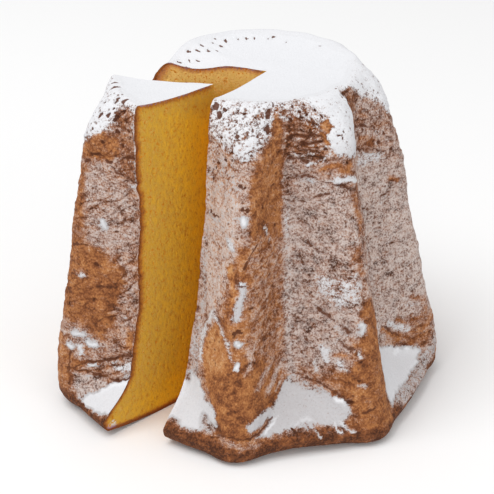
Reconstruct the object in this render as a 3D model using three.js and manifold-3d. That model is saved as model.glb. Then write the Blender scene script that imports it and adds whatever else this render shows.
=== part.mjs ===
// A tall star-shaped sweet loaf, baked in an eight-pointed tin and turned out with its wide end down.
// One slice has been cut from it and drawn a little way out, so the part is two solids: loaf and slice.
// Millimetres, +Z up. The origin is on the table, under the middle of the two pieces together.
// Azimuths are in degrees from -Y, the side that faces the viewer, and grow towards +X.

import * as THREE from "three";
import { mergeVertices } from "three/addons/utils/BufferGeometryUtils.js";
import Module from "manifold-3d";

// ---- Driving dimensions ----

const HEIGHT = 195; // of the top's rim, on average
const RIDGE_AT_BASE = 129; // reach of the star's corners, before the dough rounds them
const RIDGE_AT_TOP = 76.5;
const VALLEY_AT_BASE = 93;
const VALLEY_AT_TOP = 59;
const VALLEY_FLARE = 2.2; // the valleys drop almost upright from the top, then run out ever faster
const ROUNDING = 6; // degrees to each side over which a corner of the star is rounded

// Eight ridges, each with the valley after it, uneven as baked. The tuck is how far a ridge's foot pulls in.
const LOBES = [
  { ridge: -6, tuck: 6, valley: 12 },
  { ridge: 37, tuck: 6, valley: 62 },
  { ridge: 85, tuck: 16, valley: 106 },
  { ridge: 129, tuck: 10, valley: 151 },
  { ridge: 174, tuck: 7, valley: 197 },
  { ridge: 219, tuck: 12, valley: 241 },
  { ridge: 258, tuck: 9, valley: 281 },
  { ridge: 304, tuck: 17, valley: 329 },
];

// The dough rose over the tin's rim: a skirt slopes out of each valley to a foot that is almost round.
const SKIRT_LOW = { valley: 108, ridge: 116, height: 7 };
const SKIRT_HIGH = { valley: 84, ridge: 92, height: 30 };
const SKIRT_BLEND = 3;
const VALLEY_TUCK = 3;
const TUCK_STEEPNESS = 3; // a tuck is this many times as tall as it goes in

// The underside is flat in the middle and rises towards its edge, more so under the valleys.
const UNDERSIDE_FLAT = 0.56; // share of the radius
const UNDERSIDE_RISE = { valley: 4.5, ridge: 1.5 };

// The top's edge falls away on the ridges and is crisp in the valleys. Its middle has sunk a little.
const SHOULDER_VALLEY = { inward: 2, tall: 8 };
const SHOULDER_RIDGE = { inward: 20.5, tall: 58 };
const TOP_TILT = 2.8; // the rim lies this much lower in front, and higher at the back
const TOP_DISH = 4;

// Low swells of the crust, and the creases that run across it.
const SWELL = 0.8;
const CREASES = [
  { azimuth: -41, height: 30, span: 10, depth: 1.4 },
  { azimuth: -36, height: 152, span: 7, depth: 1.3 },
  { azimuth: -50, height: 163, span: 7, depth: 2 },
  { azimuth: -55, height: 105, span: 6, depth: 1.2 },
  { azimuth: -3, height: 17, span: 7, depth: 2 },
  { azimuth: 19, height: 138, span: 8, depth: 2.4 },
  { azimuth: 20, height: 161, span: 9, depth: 1.8 },
  { azimuth: 26, height: 110, span: 6, depth: 1 },
  { azimuth: 35, height: 157, span: 8, depth: 1.2 },
  { azimuth: 66, height: 155, span: 10, depth: 1.5 },
  { azimuth: 112, height: 121, span: 12, depth: 1.4 },
  { azimuth: 150, height: 153, span: 14, depth: 1.8 },
  { azimuth: 205, height: 135, span: 12, depth: 1.6 },
  { azimuth: 238, height: 98, span: 12, depth: 1.4 },
];
const CREASE_HALF_WIDTH = 4;

// A cut-out is the wedge between two upright cuts: their azimuths and the place where they meet.
const NOTCH = { from: -107, to: -31.2, tip: { x: 3.5, y: 0 } };
const CUT = { from: -80.5, to: -30.5, tip: { x: 0, y: 0 } };

// How each piece stands: turned about its axis, with the axis leaning from the base's place to the top's.
const LOAF_STANCE = { turn: 0, base: { x: 3.2, y: 0 }, top: { x: 6.4, y: 4 } };
const SLICE_STANCE = { turn: -15, base: { x: -6.7, y: -11.7 }, top: { x: -20.9, y: -17.6 } };

// Facets.
const COLUMNS = 120;
const SIDE_ROWS = 38;
const UNDERSIDE_RINGS = [0, UNDERSIDE_FLAT, 0.78, 0.92];
const TOP_RINGS = [0.76, 0.5, 0.25, 0];

const CRUST = { color: 0xb98a68, roughness: 0.9, metalness: 0 };

const wasm = await Module();
wasm.setup();

// ---- The uncut loaf's surface ----

const { lerp, clamp, degToRad, smoothstep, euclideanModulo } = THREE.MathUtils;
const FULL_TURN = 360;

/** The star's corners in turn, with the first again at the end. ridge is 1 on a ridge and 0 in a valley. */
const CORNERS = LOBES.flatMap(({ ridge, tuck, valley }) => [
  { azimuth: ridge, ridge: 1, tuck },
  { azimuth: valley, ridge: 0, tuck: VALLEY_TUCK },
]);
CORNERS.push({ ...CORNERS[0], azimuth: CORNERS[0].azimuth + FULL_TURN });

function sine(degrees) {
  return Math.sin(degToRad(degrees));
}

/** The straight flank at an azimuth and height: its radius, and its corners' ridge and tuck in between. */
function flank(azimuth, height) {
  const first = CORNERS[0].azimuth;
  const a = euclideanModulo(azimuth - first, FULL_TURN) + first;
  const next = CORNERS.findIndex((corner) => corner.azimuth > a);
  const before = CORNERS[next - 1];
  const after = CORNERS[next];
  const whole = after.azimuth - before.azimuth;
  const gone = a - before.azimuth;
  const down = 1 - height / HEIGHT;
  const ridge = lerp(RIDGE_AT_TOP, RIDGE_AT_BASE, down);
  const valley = lerp(VALLEY_AT_TOP, VALLEY_AT_BASE, down ** VALLEY_FLARE);
  const [start, end] = before.ridge ? [ridge, valley] : [valley, ridge];
  return {
    radius: (start * end * sine(whole)) / (start * sine(gone) + end * sine(whole - gone)),
    ridge: lerp(before.ridge, after.ridge, gone / whole),
    tuck: lerp(before.tuck, after.tuck, gone / whole),
  };
}

/** The star with its corners rounded: the mean of the flanks over a few degrees to each side. */
function roundedStar(azimuth, height) {
  const steps = [-1, -2 / 3, -1 / 3, 0, 1 / 3, 2 / 3, 1];
  const samples = steps.map((step) => flank(azimuth + step * ROUNDING, height));
  const mean = (key) => samples.reduce((sum, sample) => sum + sample[key], 0) / samples.length;
  return { radius: mean("radius"), ridge: mean("ridge"), tuck: mean("tuck") };
}

/** The skirt's own radius: a cone from its low edge up past its high edge, and upright below. */
function skirt(ridge, height) {
  const low = lerp(SKIRT_LOW.valley, SKIRT_LOW.ridge, ridge);
  const high = lerp(SKIRT_HIGH.valley, SKIRT_HIGH.ridge, ridge);
  const up = (height - SKIRT_LOW.height) / (SKIRT_HIGH.height - SKIRT_LOW.height);
  return lerp(low, high, clamp(up, 0, 3));
}

/** The larger of two radii, with the corner between them rounded. */
function smoothMax(a, b) {
  return SKIRT_BLEND * Math.log(Math.exp(a / SKIRT_BLEND) + Math.exp(b / SKIRT_BLEND));
}

/** How far an edge has fallen away inwards: a quarter of an ellipse that starts level with the side. */
function falloff(beyond, inward, tall) {
  const share = clamp(beyond / tall + 1, 0, 1);
  return inward * (1 - Math.sqrt(1 - share * share));
}

/** Low swells, and each crease as a groove with a rounded section that fades out at its ends. */
function relief(azimuth, height) {
  const a = degToRad(azimuth);
  const broad = Math.sin(5 * a + height / 19) * Math.sin(2 * a + height / 13);
  const fine = 0.6 * Math.sin(11 * a - height / 9);
  const grooves = CREASES.reduce((sum, crease) => {
    const across = (height - crease.height) / CREASE_HALF_WIDTH;
    const turn = euclideanModulo(azimuth - crease.azimuth + FULL_TURN / 2, FULL_TURN) - FULL_TURN / 2;
    return sum + crease.depth * Math.exp(-(across ** 2) - (turn / crease.span) ** 4);
  }, 0);
  return SWELL * (broad + fine) - grooves;
}

/** The side's radius at an azimuth and height. */
function sideRadius(azimuth, height) {
  const star = roundedStar(azimuth, height);
  const shoulderInward = lerp(SHOULDER_VALLEY.inward, SHOULDER_RIDGE.inward, star.ridge);
  const shoulderTall = lerp(SHOULDER_VALLEY.tall, SHOULDER_RIDGE.tall, star.ridge);
  const shoulder = falloff(height - HEIGHT, shoulderInward, shoulderTall);
  const foot = falloff(-height, star.tuck, TUCK_STEEPNESS * star.tuck);
  const calm = smoothstep(height, 0, SKIRT_HIGH.height) * (1 - smoothstep(height, HEIGHT - 12, HEIGHT));
  return smoothMax(star.radius, skirt(star.ridge, height)) - shoulder - foot + calm * relief(azimuth, height);
}

/** How far the underside lies above the table, at a share of the radius. */
function undersideRise(share, azimuth) {
  const { ridge } = roundedStar(azimuth, 0);
  const out = clamp((share - UNDERSIDE_FLAT) / (1 - UNDERSIDE_FLAT), 0, 1);
  return lerp(UNDERSIDE_RISE.valley, UNDERSIDE_RISE.ridge, ridge) * out * out;
}

/** How far the top lies off its mean height, at a share of the radius: tilted, and sunk in the middle. */
function topRise(share, azimuth) {
  return -TOP_TILT * share * Math.cos(degToRad(azimuth)) - TOP_DISH * (1 - share ** 3);
}

/** Heights of the side's rows, closer together at the foot and at the shoulder. */
function rowHeight(row) {
  const share = row / SIDE_ROWS;
  return HEIGHT * (share - Math.sin(2 * Math.PI * share) / (2.6 * Math.PI));
}

/** The uncut loaf: a lathe of unit radius whose every point is moved out to the loaf's own surface. */
function uncutLoaf() {
  const rows = Array.from({ length: SIDE_ROWS + 1 }, (_, row) => rowHeight(row));
  const profile = [
    ...UNDERSIDE_RINGS.map((share) => new THREE.Vector2(share, 0)),
    ...rows.map((height) => new THREE.Vector2(1, height)),
    ...TOP_RINGS.map((share) => new THREE.Vector2(share, HEIGHT)),
  ];
  const geometry = new THREE.LatheGeometry(profile, COLUMNS);
  const position = geometry.getAttribute("position");
  for (let i = 0; i < position.count; i++) {
    const column = Math.floor(i / profile.length) % COLUMNS;
    const azimuth = column * (FULL_TURN / COLUMNS);
    const { x: share, y: level } = profile[i % profile.length];
    const radius = share * sideRadius(azimuth, level);
    const low = (1 - smoothstep(level, 0, SKIRT_HIGH.height)) * undersideRise(share, azimuth);
    const high = smoothstep(level, HEIGHT - SHOULDER_RIDGE.tall, HEIGHT) * topRise(share, azimuth);
    const a = degToRad(azimuth);
    position.setXYZ(i, radius * Math.sin(a), -radius * Math.cos(a), level + low + high);
  }
  return geometry;
}

// ---- Cutting ----

/** A closed geometry as a solid that can be cut, with its faces turned to point outwards. */
function toSolid(geometry) {
  const bare = geometry.index ? geometry.toNonIndexed() : geometry.clone();
  bare.deleteAttribute("normal");
  bare.deleteAttribute("uv");
  const merged = mergeVertices(bare, 1e-4);
  const triVerts = new Uint32Array(merged.index.array);
  const vertProperties = new Float32Array(merged.getAttribute("position").array);
  const solid = new wasm.Manifold(new wasm.Mesh({ numProp: 3, vertProperties, triVerts }));
  if (solid.volume() > 0) return solid;
  for (let i = 0; i < triVerts.length; i += 3) triVerts.subarray(i, i + 3).reverse();
  return new wasm.Manifold(new wasm.Mesh({ numProp: 3, vertProperties, triVerts }));
}

function toGeometry(solid) {
  const { vertProperties, triVerts } = solid.getMesh();
  const geometry = new THREE.BufferGeometry();
  geometry.setAttribute("position", new THREE.BufferAttribute(vertProperties, 3));
  geometry.setIndex(new THREE.BufferAttribute(triVerts, 1));
  const faceted = geometry.toNonIndexed();
  faceted.computeVertexNormals();
  return faceted;
}

/** The wedge between two upright cuts, tall and long enough to pass right through the loaf. */
function wedge({ from, to, tip }) {
  const reach = 2 * RIDGE_AT_BASE;
  const outer = [from, (from + to) / 2, to].map((azimuth) => {
    const a = degToRad(azimuth);
    return new THREE.Vector2(tip.x + reach * Math.sin(a), tip.y - reach * Math.cos(a));
  });
  const outline = new THREE.Shape([new THREE.Vector2(tip.x, tip.y), ...outer]);
  const geometry = new THREE.ExtrudeGeometry(outline, { depth: 2 * HEIGHT, bevelEnabled: false });
  return geometry.translate(0, 0, -HEIGHT / 2);
}

/** Turns about the axis, then leans with the base kept level. */
function stance({ turn, base, top }) {
  const along = { x: (top.x - base.x) / HEIGHT, y: (top.y - base.y) / HEIGHT };
  const lean = new THREE.Matrix4().makeShear(0, 0, 0, 0, along.x, along.y);
  const turned = new THREE.Matrix4().makeRotationZ(degToRad(turn));
  const place = new THREE.Matrix4().makeTranslation(base.x, base.y, 0);
  return place.multiply(lean).multiply(turned);
}

// ---- The two pieces ----

const whole = toSolid(uncutLoaf());

function piece(name, solid, standing) {
  const geometry = toGeometry(solid).applyMatrix4(stance(standing));
  const mesh = new THREE.Mesh(geometry, new THREE.MeshStandardMaterial(CRUST));
  mesh.name = name;
  return mesh;
}

const pandoro = new THREE.Group();
pandoro.name = "pandoro";
pandoro.add(piece("loaf", whole.subtract(toSolid(wedge(NOTCH))), LOAF_STANCE));
pandoro.add(piece("slice", whole.intersect(toSolid(wedge(CUT))), SLICE_STANCE));

export default pandoro;
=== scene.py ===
# A tall star-shaped sweet loaf under icing sugar, with one slice cut from it and drawn a little way out.
# The frame is in metres, +Z up. The dough's own shape is worked out in millimetres about the loaf's axis,
# with azimuths in degrees from -Y, the side that faces the viewer, growing towards +X.

import bpy
import math
import numpy as np
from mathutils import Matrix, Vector


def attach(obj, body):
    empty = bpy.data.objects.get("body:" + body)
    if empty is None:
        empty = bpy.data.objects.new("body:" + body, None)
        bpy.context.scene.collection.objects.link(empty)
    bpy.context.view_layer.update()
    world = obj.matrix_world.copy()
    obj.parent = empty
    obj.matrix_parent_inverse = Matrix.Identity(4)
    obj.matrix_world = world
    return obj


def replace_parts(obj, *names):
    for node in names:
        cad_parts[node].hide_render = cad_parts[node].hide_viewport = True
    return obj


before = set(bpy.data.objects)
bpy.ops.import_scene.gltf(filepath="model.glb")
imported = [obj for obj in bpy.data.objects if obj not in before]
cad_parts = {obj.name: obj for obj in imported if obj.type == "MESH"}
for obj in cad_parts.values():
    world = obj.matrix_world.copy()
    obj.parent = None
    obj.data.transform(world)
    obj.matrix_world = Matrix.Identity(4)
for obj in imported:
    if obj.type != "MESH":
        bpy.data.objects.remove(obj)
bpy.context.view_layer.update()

# ---- Camera ----
# The photograph looks down on the loaf by about 26 degrees, with a long lens, from just under a metre
# away. The camera's place and angles were found from the outline of the loaf.

CAMERA_PLACE = (-0.00815, -0.78283, 0.46961)
CAMERA_PITCH = 26.47  # degrees below level
CAMERA_YAW = 0.48  # degrees from +Y towards +X
LENS_PER_WIDTH = 2.9122  # focal length over the picture's width
SENSOR = 36.0

camera_data = bpy.data.cameras.new("camera")
camera_data.sensor_fit = "HORIZONTAL"
camera_data.sensor_width = SENSOR
camera_data.lens = SENSOR * LENS_PER_WIDTH
camera = bpy.data.objects.new("camera", camera_data)
camera.location = CAMERA_PLACE
camera.rotation_euler = (math.radians(90 - CAMERA_PITCH), 0, math.radians(-CAMERA_YAW))
bpy.context.scene.collection.objects.link(camera)
bpy.context.scene.camera = camera

# ---- The loaf: its baked crust ----
# Soft yeast dough is baked upside down in a deep eight-pointed tin, so it has straight ridges, round
# shoulders from the tin's bottom, and a skirt where it rose over the rim, on which it stands. A wedge is
# cut out with two upright cuts. The crust is one closed body, hollowed behind each cut for the crumb.

HEIGHT = 195.0
RIDGE_REACH = (129.0, 76.5)  # of the star's corners, at the base and at the top
VALLEY_REACH = (93.0, 59.0)
VALLEY_FLARE = 2.2
ROUNDING = 6.0  # degrees to each side over which a corner is rounded
# The lobes: a ridge's azimuth, how far its foot is tucked in, and the azimuth of the valley after it.
LOBES = (
    (-6, 6, 12),
    (37, 6, 62),
    (85, 16, 106),
    (129, 10, 151),
    (174, 7, 197),
    (219, 12, 241),
    (258, 9, 281),
    (304, 17, 329),
)
VALLEY_TUCK = 3
TURN = 360.0


def smooth(value, low, high):
    """0 below low and 1 above high, with a cubic in between that starts and ends level."""
    t = np.clip((value - low) / (high - low), 0, 1)
    return t * t * (3 - 2 * t)


def star(azimuth, level):
    """Radius, ridge share and foot tuck of the eight-pointed star. A flank is the straight line from a
    ridge to the next valley, written in polar form, and the corners are rounded by the mean over a few
    degrees to each side."""
    sine = lambda degrees: np.sin(np.radians(degrees))
    corner = []
    for ridge, tuck, valley in LOBES:
        corner += [(ridge, 1, tuck), (valley, 0, VALLEY_TUCK)]
    corner.append((LOBES[0][0] + TURN, 1, LOBES[0][1]))
    corner = np.array(corner, float)
    down = np.clip(1 - level / HEIGHT, 0, 1)
    ridge_reach = RIDGE_REACH[1] + (RIDGE_REACH[0] - RIDGE_REACH[1]) * down
    valley_reach = VALLEY_REACH[1] + (VALLEY_REACH[0] - VALLEY_REACH[1]) * down**VALLEY_FLARE
    steps = np.linspace(-ROUNDING, ROUNDING, 7)
    total = np.zeros((3,) + np.broadcast(azimuth, level).shape)
    for step in steps:
        a = (azimuth + step - corner[0, 0]) % TURN + corner[0, 0]
        after = np.clip(np.searchsorted(corner[:, 0], a, side="right"), 1, len(corner) - 1)
        whole = corner[after, 0] - corner[after - 1, 0]
        gone = a - corner[after - 1, 0]
        on_ridge = corner[after - 1, 1] > 0
        start = np.where(on_ridge, ridge_reach, valley_reach)
        end = np.where(on_ridge, valley_reach, ridge_reach)
        total[0] += start * end * sine(whole) / (start * sine(gone) + end * sine(whole - gone))
        for k in (1, 2):
            total[k] += corner[after - 1, k] + (corner[after, k] - corner[after - 1, k]) * gone / whole
    return total / len(steps)


def skirt(ridge, level):
    """Radius of the cone that slopes out of the valleys to the foot, upright below its low edge."""
    up = np.clip((level - 7) / 23, 0, 3)
    return (108 + 8 * ridge) * (1 - up) + (84 + 8 * ridge) * up


def fall(beyond, inward, tall):
    """How far an edge has fallen away inwards: a quarter of an ellipse that starts level with the
    side."""
    share = np.clip(beyond / tall + 1, 0, 1)
    return inward * (1 - np.sqrt(1 - share * share))


def side_radius(azimuth, level):
    """The star or the skirt, whichever reaches further, less the rounded shoulder and the tucked foot."""
    radius, ridge, tuck = star(azimuth, level)
    outer = 3 * np.logaddexp(radius / 3, skirt(ridge, level) / 3)
    shoulder = fall(level - HEIGHT, 2 + 18.5 * ridge, 8 + 50 * ridge)
    return outer - shoulder - fall(-level, tuck, 3 * tuck)


def rest_height(azimuth, level, share):
    """Height of the surface: the underside rises towards its edge, and the top is tilted and sunk in its
    middle. The shoulder before the cut at the back droops by a few millimetres."""
    ridge = star(azimuth, level * 0)[1]
    low = (4.5 - 3 * ridge) * np.clip((share - 0.56) / 0.44, 0, 1) ** 2
    around = azimuth % TURN
    droop = 6 * smooth(around, 226, 250) * (1 - smooth(around, 256, 270)) * smooth(share, 0.3, 0.8)
    high = -2.8 * share * np.cos(np.radians(azimuth)) - 4 * (1 - share**3) - droop
    return level + (1 - smooth(level, 0, 30)) * low + smooth(level, HEIGHT - 58, HEIGHT) * high


def gradient_noise(points, size, seed):
    """Smooth noise from about -1 to 1: random slopes at the corners of a lattice of this size, blended
    inside each cell. Points are an array of (..., 3) in millimetres, and size may differ along the three
    axes."""
    table = np.random.RandomState(seed).permutation(256)
    slopes = np.random.RandomState(seed + 1).normal(size=(256, 3))
    slopes /= np.linalg.norm(slopes, axis=1, keepdims=True)
    place = points / np.array(size, float)
    cell = np.floor(place).astype(int)
    inside = place - cell
    blend = inside**3 * (inside * (inside * 6 - 15) + 10)
    total = np.zeros(points.shape[:-1])
    for corner in np.ndindex(2, 2, 2):
        index = (cell + corner) % 256
        key = table[(table[(table[index[..., 0]] + index[..., 1]) % 256] + index[..., 2]) % 256]
        slope = ((inside - corner) * slopes[key]).sum(-1)
        weight = np.where(corner, blend, 1 - blend).prod(-1)
        total += weight * slope
    return total * 1.6


def nearest_seed(points, size, seed):
    """Distance, in cells, from each point to the nearest of the random seeds, one in each cell of a
    lattice, with that seed's own random number from 0 to 1."""
    table = np.random.RandomState(seed).permutation(256)
    spot = np.random.RandomState(seed + 1).uniform(0.1, 0.9, (256, 4))
    place = points / np.array(size, float)
    cell = np.floor(place).astype(int)
    best = np.full(points.shape[:-1], 9.0)
    own = np.zeros(points.shape[:-1])
    for step in np.ndindex(3, 3, 3):
        neighbour = cell + step - 1
        index = neighbour % 256
        key = table[(table[(table[index[..., 0]] + index[..., 1]) % 256] + index[..., 2]) % 256]
        away = np.linalg.norm(neighbour + spot[key, :3] - place, axis=-1)
        own = np.where(away < best, spot[key, 3], own)
        best = np.minimum(best, away)
    return best, own


# What lies on the crust, as it was shaken on and rubbed off. Each place is the corners of an outline on
# the unrolled crust, in (azimuth, level), where a level above the loaf's height goes on in over the top.
# It comes with the amounts that it is blended to: sugar, dust, bake (paler above 0, darker below), and
# how many millimetres its edge is blurred.
PLACES = (
    # ridge in front, left of the cut: its sugared shoulder, its dusted flank and its bare golden foot
    (0.86, 0.5, 0.1, 3, ((-33, 176), (-26, 178), (-20, 172), (-13, 169), (-5, 166), (0, 176), (4, 188),
        (8, 197), (-33, 197))),
    (0.56, 0.78, 0.5, 6, ((-33, 178), (-20, 174), (-10, 168), (-7, 150), (-10, 142), (-33, 142))),
    (0.4, 0.9, 0.6, 5, ((-31, 145), (-9, 145), (-9, 120), (-12, 96), (-14, 80), (-31, 80))),
    (0.62, 0.8, 0.2, 2.5, ((-29, 122), (-25.5, 120), (-23, 80), (-23, 38), (-29, 38))),
    (0.0, 0.06, 0.85, 1.6, ((-12, 108), (-9, 112), (-8, 92), (-10, 88))),
    (0.0, 0.06, 0.8, 1.6, ((-16.5, 76), (-20, 68), (-22, 52), (-18, 40), (-13, 32), (-9, 34), (-9, 64),
        (-11, 70))),
    # its right flank, bare above and finely dusted below
    (0.0, 0.12, 0.3, 3, ((-1, 170), (5, 182), (8.5, 194), (11, 188), (11, 150), (11, 118), (2, 114),
        (-4, 126), (-5, 150), (-4, 164))),
    (0.04, 0.42, 0.25, 6, ((-4, 124), (11, 118), (11, 46), (4, 52), (-5, 66), (-5, 100))),
    (0.06, 0.16, 0.4, 3, ((-9, 122), (-4, 122), (-4, 62), (-9, 62), (-9, 100))),
    (0.0, -0.15, 0.2, 2, ((-17, 42), (-9, 62), (-3, 60), (5, 50), (11, 38), (8, 30), (0, 25), (-3, 14),
        (-13, 14), (-14, 30))),
    # the valley between the two front ridges
    (0.1, 0.5, -0.1, 2, ((16, 164), (18.5, 158), (19, 60), (17, 50))),
    (0.46, 0.92, 0.0, 2.8, ((11.4, 158), (14.2, 160), (15.2, 130), (15.6, 80), (14.6, 38), (11, 38),
        (11.4, 100))),
    (0.7, 0.9, 0.0, 1.6, ((12.6, 161), (14, 166), (19, 166), (20, 162.5), (15, 160.5))),
    (0.7, 0.9, 0.0, 2, ((29, 86), (35.5, 84), (36, 76), (33, 74), (30.5, 80))),
    (0.75, 0.8, -0.1, 1.2, ((12.6, 134), (14, 134), (14, 121), (12.4, 121))),
    # the second ridge: sugar on its shoulder, folds below it, dust down its flank and a bare foot
    (0.68, 0.5, 0.1, 4, ((9, 199), (9, 190), (16, 184), (28, 180), (42, 182), (60, 199))),
    (0.94, 0.6, 0.0, 3, ((18, 202), (24, 194), (31, 189), (40, 187), (49, 192), (58, 194), (67, 189),
        (74, 185), (78, 178), (82, 168), (90, 172), (98, 202))),
    (0.24, 0.42, 0.0, 3, ((11, 186), (20, 184), (28, 176), (28, 164), (12, 164))),
    (0.12, 0.5, -0.2, 3, ((12, 162), (22, 162), (27, 157), (26, 143), (12, 141))),
    (0.95, 0.6, 0.0, 2, ((31, 178), (33, 186), (36, 192), (49, 192), (52, 184), (50, 174), (47, 163),
        (41, 162), (34, 165), (30.5, 171))),
    (0.0, 0.05, 0.55, 1.2, ((28.5, 184), (33, 186), (35, 182), (32, 179), (29, 180))),
    (0.0, 0.05, 0.6, 1.0, ((28.6, 179), (30.2, 178), (30.4, 173), (28.8, 173))),
    (0.3, 0.55, 0.0, 3, ((27, 165), (41, 163), (41, 148), (27, 146))),
    (0.28, 0.76, -0.15, 5, ((14, 160), (30, 150), (40, 140), (40, 118), (33, 70), (30, 46), (16, 44))),
    (0.1, 0.35, 0.3, 2.5, ((36.5, 144), (40.5, 144), (40.5, 120), (37.5, 120))),
    (0.12, 0.4, 0.3, 2.5, ((34, 114), (38, 114), (38, 92), (35, 92))),
    (0.7, 0.75, 0.0, 3, ((24, 98), (36, 100), (36, 84), (30, 80), (25, 84))),
    (0.0, 0.04, 0.2, 1.8, ((37.4, 84), (34.8, 76), (36, 66), (33, 62), (30.8, 48), (28.6, 36.5), (29, 27),
        (33, 9), (44, 9), (44, 60), (40, 84))),
    # the third ridge: a pitted dark top, browner bands, then grey dust
    (0.2, 0.3, -0.2, 2.5, ((50, 193), (58, 193), (66, 188), (68, 181), (60, 178), (52, 182))),
    (0.36, 0.7, 0.0, 3, ((60, 184), (70, 184), (77, 176), (78, 170), (62, 176))),
    (0.08, 0.5, 0.0, 2.5, ((53, 179), (64, 178), (78, 168), (78, 162), (64, 168), (54, 172))),
    (0.36, 0.7, 0.0, 2.5, ((62, 168), (79, 163), (82, 148), (74, 148), (72, 160), (62, 164))),
    (0.06, 0.34, 0.1, 2, ((60, 161), (72, 159), (73, 152), (60, 155))),
    (0.75, 0.8, 0.0, 2.5, ((60, 154), (70, 150), (76, 147), (75, 141), (66, 143), (60, 146))),
    (0.26, 0.84, -0.1, 5, ((55, 143), (90, 143), (90, 40), (78, 40), (66, 36), (55, 40))),
    # drifts on the skirt: left of the front ridge, in the two front valleys, and on the slice
    (1.08, 1, 0, 2, ((-33, 37), (-25, 38), (-20.5, 37), (-17.5, 29.5), (-12.8, 29), (-11.4, 25),
        (-11.8, 20), (-14, 15.5), (-17, 14), (-21, 12), (-33, 14))),
    (0.62, 0.8, 0, 3, ((-17, 21), (-13, 21), (-12.6, 15), (-17, 15))),
    # the drift in the first front valley has 0.98 of sugar, so it keeps the grey of thin sugar: painted
    # shade
    (0.98, 1, 0, 1.6, ((9.5, 36.5), (14, 38), (17, 35.5), (24, 31), (29, 27), (30, 20), (26, 13),
        (20, 12), (17, 15.5), (12, 15), (6, 12.5), (0, 13.5), (4.5, 19), (3, 21), (-2, 17.5), (-4, 24),
        (-0.5, 27), (5.3, 27))),
    (0.5, 0.85, -0.1, 1.5, ((12.5, 37), (19, 35.5), (24, 32), (23, 30), (17, 33), (13, 34))),
    (1.12, 1, 0, 2, ((43, 33), (56, 38), (66, 32), (70, 27), (77, 24), (77, 19), (68, 15), (59, 14),
        (46, 12))),
    (0.6, 0.75, -0.2, 2, ((46, 13), (56, 13), (65, 12), (73, 15), (78, 21), (82, 34), (86, 32), (83, 16),
        (74, 6), (62, 4), (50, 6))),
    # the slice's ridge: pitted sugar on its shoulder, a bare patch under it, dust, and the large bare
    # patch
    (0.93, 0.5, 0.0, 3, ((-84, 197), (-36, 198), (-34, 194), (-41, 187), (-45.5, 183), (-46.5, 177.5),
        (-52, 172), (-58, 166), (-84, 163))),
    (0.3, 0.35, 0.0, 4, ((-44, 190), (-34, 193), (-28, 190), (-28, 150), (-40, 150), (-42, 182))),
    (0.0, 0.08, 0.2, 2, ((-57, 165), (-52, 171), (-47, 177), (-41, 176), (-40, 166), (-44, 160),
        (-55, 157))),
    (0.5, 0.75, 0.0, 4, ((-52, 148), (-46.5, 151), (-45.5, 130), (-50, 130))),
    (0.34, 0.7, 0.0, 4, ((-51, 150), (-38, 146), (-31, 128), (-35, 112), (-44, 108), (-50, 122))),
    (0.1, 0.24, 0.25, 2.5, ((-62, 148), (-52, 147), (-50, 122), (-51, 104), (-62, 100))),
    (0.0, 0.06, 0.2, 3.5, ((-58, 108), (-50, 108), (-43, 103), (-39, 96), (-36.5, 88), (-40, 72),
        (-42, 52), (-47, 49), (-50, 60), (-58, 64))),
    (0.2, 0.55, 0.1, 5, ((-37, 108), (-28, 112), (-28, 62), (-38, 58), (-36, 84))),
    (0.0, 0.12, 0.5, 2, ((-34.5, 58), (-31, 58), (-31, 46), (-34.5, 47))),
    (0.36, 0.5, 0.0, 4, ((-58, 60), (-49, 58), (-44, 50), (-36, 46), (-34, 40), (-28, 38), (-28, 33),
        (-46, 30), (-58, 40))),
    (0.02, 0.2, 0.35, 2, ((-60, 50), (-52, 46), (-51, 18), (-60, 14))),
    (0.0, 0.1, 0.3, 1.5, ((-51, 38), (-46, 35), (-49, 29), (-50.5, 26))),
    (0.4, 0.85, -0.2, 2, ((-49, 27), (-41, 26.5), (-38, 24), (-40, 18), (-46, 11), (-49, 15))),
    (0.85, 0.8, 0, 1.6, ((-38.5, 36), (-30.5, 41), (-29, 36), (-37, 33.5))),
    (1.12, 1, 0, 1.8, ((-45.5, 10.5), (-38.8, 19), (-34.5, 26.5), (-30.5, 32), (-28, 32), (-28, 15),
        (-31.5, 13), (-34, 11), (-39.8, 9.5))),
)

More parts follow.
